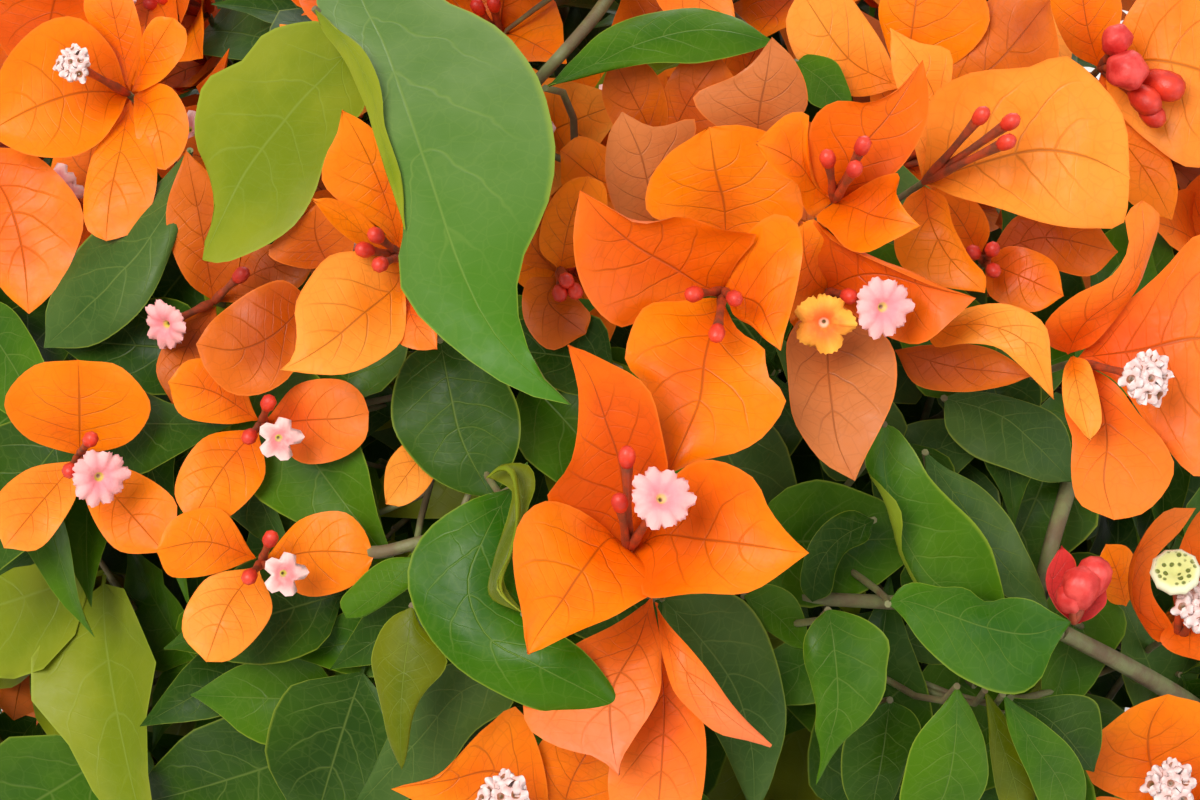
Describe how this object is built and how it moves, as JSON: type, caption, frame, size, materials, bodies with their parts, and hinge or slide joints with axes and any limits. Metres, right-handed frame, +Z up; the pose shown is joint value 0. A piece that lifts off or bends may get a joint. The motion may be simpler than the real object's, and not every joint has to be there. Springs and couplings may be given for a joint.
{
  "type": "bougainvillea bush",
  "caption": "Flowering bougainvillea bush in a square tapered nursery pot: thorned trunk, arching boughs and a rounded crown of green leaves and orange bracts.",
  "frame": {"origin": "centre of the pot's flat underside, on the surface that the plant stands on", "axes": "+Z up along the trunk, +X to the right of someone who faces the plant's front, -Y towards the viewer, the side that the main picture shows"},
  "size_m": [0.3709, 0.4024, 0.4598],
  "materials": {
    "pot_plastic": "satin",
    "potting_mix": "matte",
    "plug_wrap": "matte",
    "bark": "matte",
    "blooming_twigs": "satin",
    "leafy_twigs": "satin"
  },
  "bodies": {
    "root": {"pot": "pot_plastic", "potting_mix": "potting_mix", "plug": "plug_wrap", "trunk": "bark", "bough_upper_1": "bark", "bough_upper_2": "bark", "bough_upper_3": "bark", "bough_upper_4": "bark", "bough_upper_5": "bark", "bough_lower_1": "bark", "bough_lower_2": "bark", "bough_lower_3": "bark", "bough_lower_4": "bark", "bough_lower_5": "bark", "bough_top": "bark", "foliage_upper_1": "blooming_twigs", "foliage_upper_2": "blooming_twigs", "foliage_upper_3": "blooming_twigs", "foliage_upper_4": "blooming_twigs", "foliage_upper_5": "blooming_twigs", "foliage_lower_1": "leafy_twigs", "foliage_lower_2": "leafy_twigs", "foliage_lower_3": "leafy_twigs", "foliage_lower_4": "leafy_twigs", "foliage_lower_5": "leafy_twigs", "foliage_top": "blooming_twigs"}
  },
  "joints": []
}
